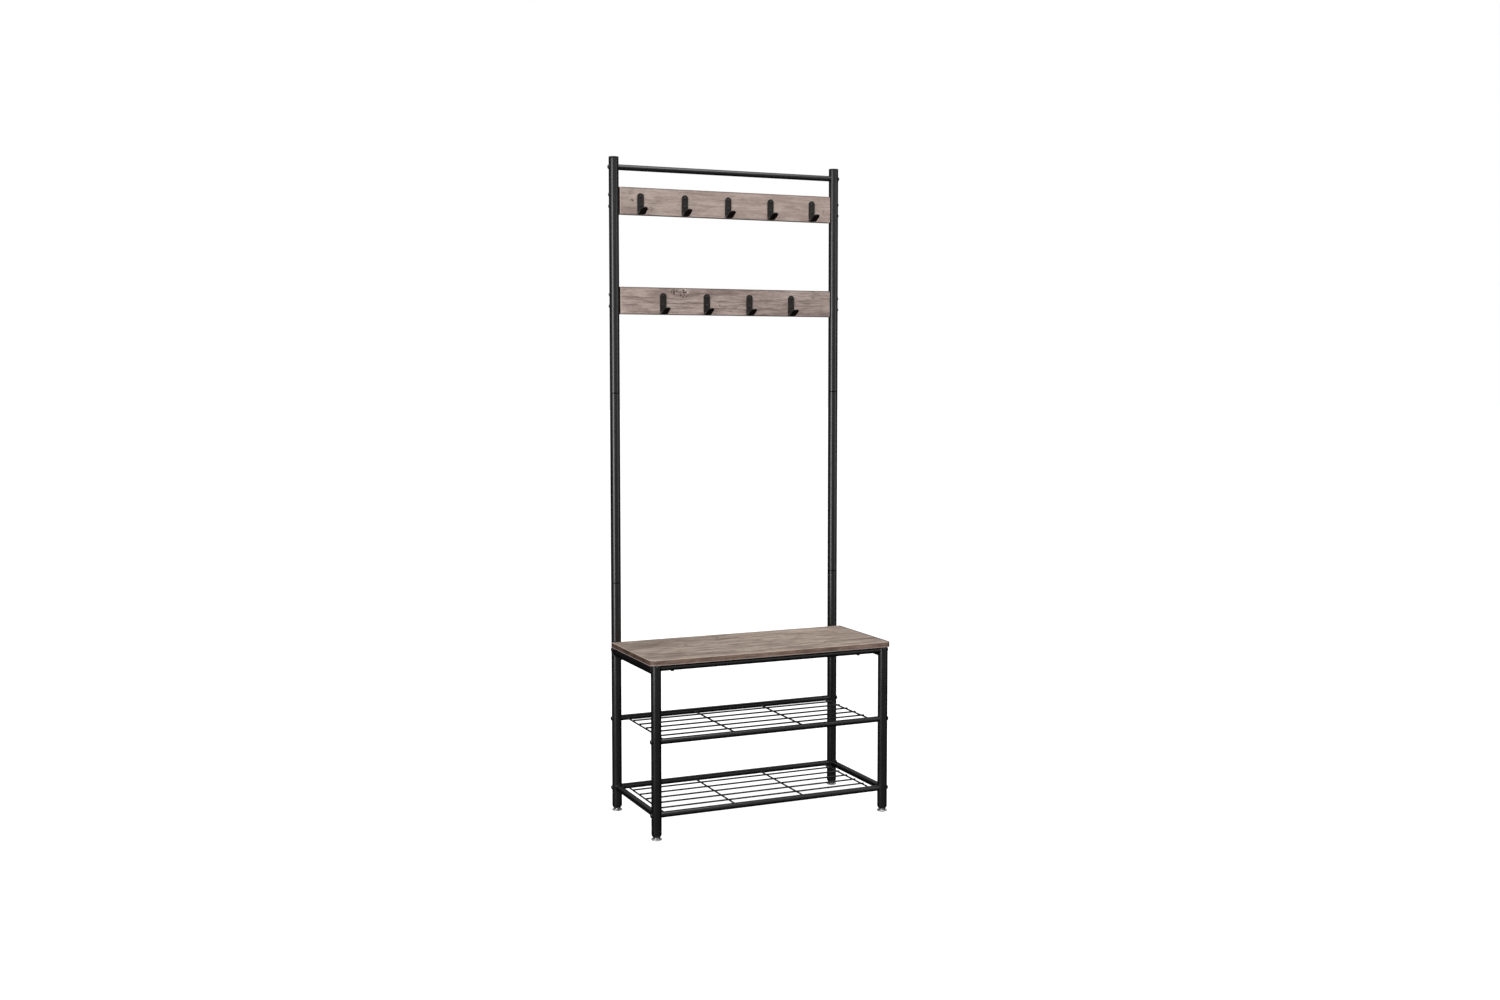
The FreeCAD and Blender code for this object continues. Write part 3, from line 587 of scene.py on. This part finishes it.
def dress_boards():
    """Smudges and knots are placed from each board's own middle height."""
    upper_z = middle("upper_hook_board").z
    lower_z = middle("lower_hook_board").z
    dress(board_oak("upper_hook_board", UPPER_TONES, (0.86, 1.06), (0.37, 0.1, 0.213), smudges=[
        (-0.27, upper_z + 0.006, 0.06, 0.004, 0.7), (-0.1, upper_z + 0.010, 0.07, 0.004, 0.8),
        (0.05, upper_z + 0.018, 0.05, 0.004, 0.7), (0.2, upper_z + 0.004, 0.055, 0.009, 0.8),
        (-0.235, upper_z - 0.019, 0.02, 0.007, 0.9), (-0.057, upper_z - 0.012, 0.02, 0.006, 0.8),
    ], knots=[
        (-0.290, upper_z + 0.001, 0.007, 0.006, 0.7), (-0.312, upper_z + 0.021, 0.010, 0.004, 0.3),
        (-0.252, upper_z + 0.024, 0.006, 0.005, 0.4), (-0.233, upper_z - 0.019, 0.007, 0.006, 0.5),
        (0.305, upper_z - 0.006, 0.012, 0.008, 0.3),
    ]), "upper_hook_board")
    dress(board_oak("lower_hook_board", LOWER_TONES, (1.0, 0.92), (1.71, 0.2, -0.41), smudges=[
        (-0.24, lower_z + 0.011, 0.06, 0.004, 0.9), (-0.29, lower_z - 0.010, 0.045, 0.005, 0.9),
        (-0.02, lower_z + 0.006, 0.06, 0.010, 0.9), (0.13, lower_z + 0.010, 0.06, 0.005, 0.9),
        (0.26, lower_z - 0.006, 0.045, 0.008, 0.9), (0.315, lower_z - 0.004, 0.02, 0.003, 1.0),
        (-0.12, lower_z - 0.002, 0.04, 0.007, 0.6), (0.1, lower_z + 0.001, 0.09, 0.007, 1.0),
        (0.24, lower_z + 0.006, 0.07, 0.006, 1.0),
    ], knots=[
        (-0.165, lower_z + 0.027, 0.013, 0.009, 0.8), (-0.137, lower_z + 0.023, 0.020, 0.015, 1.0),
        (0.269, lower_z + 0.016, 0.006, 0.005, 0.5), (-0.024, lower_z - 0.010, 0.010, 0.005, 0.5),
    ]), "lower_hook_board")
    dress(seat_oak("seat_board", smudges=[
        (-0.27, 0.055, 0.07, 0.045, 0.9), (-0.235, -0.13, 0.08, 0.022, 0.9),
        (-0.1, -0.13, 0.05, 0.012, 0.9), (0.07, -0.115, 0.04, 0.014, 0.9),
        (0.34, -0.07, 0.07, 0.08, 0.9), (0.12, 0.06, 0.1, 0.02, 0.6),
    ], knots=[
        (-0.182, 0.011, 0.014, 0.014, 0.8), (-0.063, 0.085, 0.013, 0.012, 0.8),
        (0.005, -0.122, 0.012, 0.009, 0.7), (0.19, -0.096, 0.011, 0.011, 0.7),
    ]), "seat_board")


HOOK_TONE = (0.0075, 0.0055, 0.0042)
RIM_HEIGHT = 2.7 * MM


def dress_all():
    steel = powder_coat("black_powder_coat")
    dress(steel, *in_slot("black_steel"))
    seams = [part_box(f"left_{section}")[1].z for section in ("back_leg", "middle_post")]
    dress(powder_coat("black_post_coat", seams=seams),
          *(f"{side}_{section}" for side in SIDES for section in ("back_leg", "middle_post", "upper_post")))
    dress(powder_coat("black_hook_coat", HOOK_TONE, gloss=0.42, shine=0.3),
          *(name for name in in_slot("black_steel") if "_hook_" in name))
    dress(powder_coat("black_hook_screw_coat", HOOK_TONE, gloss=0.36, shine=0.42), "hook_screws")
    dress(powder_coat("black_bolt_finish", gloss=0.36), "rail_bolts", "board_bolts", "seat_screws")
    dress(moulded_plastic("moulded_black_plastic"), *in_slot("black_plastic"))
    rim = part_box("right_back_foot_disc")[0].z + RIM_HEIGHT
    dress(turned_metal("turned_nickel", (0.9, 0.89, 0.87), (0.05, 0.05, 0.053), rim, 0.3),
          *in_slot("bright_steel"))
    zinc = zinc_plate("zinc_plated_steel")
    dress(zinc, *in_slot("zinc_steel"))
    dress_boards()
    threaded_studs(zinc)
    frame_welds(steel)
    shelf_welds(steel)


# ---------------------------------------------------------------- studio

CAMERA_PLACE = (-1.8057, -4.0208, 1.2509)
CAMERA_TILT = 86.1741
CAMERA_TURN = -24.2029
CAMERA_LENS = 37.9921
CAMERA_SHIFT = -0.018

ROOM_FRONT = (-0.41, -0.912)
ROOM_GLOW = 0.6
ROOM_BACK_GLOW = 0.02
CEILING_GLOW = 0.7
FLOOR_HALF = 40
FLOOR_GLOW = 0.82
FLOOR_GAP = 0.2 * MM


def add_camera():
    data = bpy.data.cameras.new("camera")
    data.sensor_width = 36
    data.lens = CAMERA_LENS
    data.shift_y = CAMERA_SHIFT
    data.clip_end = 50
    camera = bpy.data.objects.new("camera", data)
    camera.location = CAMERA_PLACE
    camera.rotation_euler = (math.radians(CAMERA_TILT), 0, math.radians(CAMERA_TURN))
    bpy.context.scene.collection.objects.link(camera)
    bpy.context.scene.camera = camera


def soft_box(name, place, target, width, height, brightness):
    """A rectangular lamp of even brightness, turned to face a point."""
    data = bpy.data.lights.new(name, "AREA")
    data.shape = "RECTANGLE"
    data.size = width
    data.size_y = height
    data.energy = brightness * math.pi * width * height
    lamp = bpy.data.objects.new(name, data)
    lamp.visible_camera = False
    lamp.location = place
    lamp.rotation_euler = (Vector(target) - Vector(place)).to_track_quat("-Z", "Y").to_euler()
    bpy.context.scene.collection.objects.link(lamp)


def add_room():
    """White to the eye; for light, a wide pale front and ceiling, and dark behind and below."""
    world = bpy.data.worlds.new("studio")
    bpy.context.scene.world = world
    world.use_nodes = True
    tree = Tree(world.node_tree)
    output = world.node_tree.nodes["World Output"]
    direction = tree.add("SeparateXYZ", Vector=tree.add("TexCoord").outputs["Generated"])
    sideways = tree.sum("MULTIPLY", direction.outputs["X"], ROOM_FRONT[0])
    forward = tree.sum("ADD", sideways, tree.sum("MULTIPLY", direction.outputs["Y"], ROOM_FRONT[1]))
    front = tree.span(forward, -0.2, 0.5, ROOM_BACK_GLOW, ROOM_GLOW, smooth=True)
    ceiling = tree.span(direction.outputs["Z"], 0.2, 0.6, 0.0, CEILING_GLOW, smooth=True)
    ground = tree.span(direction.outputs["Z"], -0.28, 0.02, 0.15, 1.0, smooth=True)
    strength = tree.sum("MULTIPLY", tree.sum("MAXIMUM", front, ceiling), ground)
    glow = tree.add("Background", Color=rgb(1, 1, 1), Strength=strength)
    plain = tree.add("Background", Color=rgb(1, 1, 1), Strength=1.0)
    seen = tree.add("MixShader", Fac=tree.add("LightPath").outputs["Is Camera Ray"])
    tree.put(seen.inputs[1], glow.outputs[0])
    tree.put(seen.inputs[2], plain.outputs[0])
    tree.put(output.inputs["Surface"], seen.outputs[0])


def foot_travel():
    """How far the levelling feet can come out below their place at rest."""
    joints = frame["record"]["behaviour"]["joints"]
    return max(joint["range_m"][1] for joint in joints if joint["type"] == "slide")


def add_floor():
    """A wide floor, bright enough to run into the white behind.

    It lies just below the feet's full travel, so it hides no foot that is screwed out.
    """
    half = FLOOR_HALF
    mesh = bpy.data.meshes.new("floor")
    corners = [(-half, -half, 0), (half, -half, 0), (half, half, 0), (-half, half, 0)]
    mesh.from_pydata(corners, [], [(0, 1, 2, 3)])
    floor = bpy.data.objects.new("floor", mesh)
    floor.location.z = cad_low.z - foot_travel() - FLOOR_GAP
    look = Look("pale_floor")
    cloud = look.noise(look.place((1.5, 1.5, 1.5)), detail=3)
    look.set(Base_Color=look.colours(cloud, [(0.3, (0.5, 0.5, 0.5)), (0.7, (0.52, 0.52, 0.52))]),
             Roughness=0.9, Specular_IOR_Level=0.0, Emission_Color=rgb(1, 1, 1),
             Emission_Strength=FLOOR_GLOW)
    mesh.materials.append(look.material)
    floor.visible_glossy = False
    floor.visible_diffuse = False
    bpy.context.scene.collection.objects.link(floor)


def add_studio():
    add_camera()
    add_room()
    add_floor()
    soft_box("left_soft_box", (-2.4, -1.2, 1.14), (0, 0.15, 1.14), 0.95, 2.2, 8.2)
    soft_box("top_soft_box", (0.0, -1.1, 3.4), (0, -0.2, 1.0), 2.4, 2.2, 4.0)
    soft_box("right_soft_box", (2.3, -1.9, 1.2), (0, 0, 1.1), 1.1, 2.0, 1.9)
    bpy.context.scene.view_settings.view_transform = "Standard"


dress_all()
add_studio()
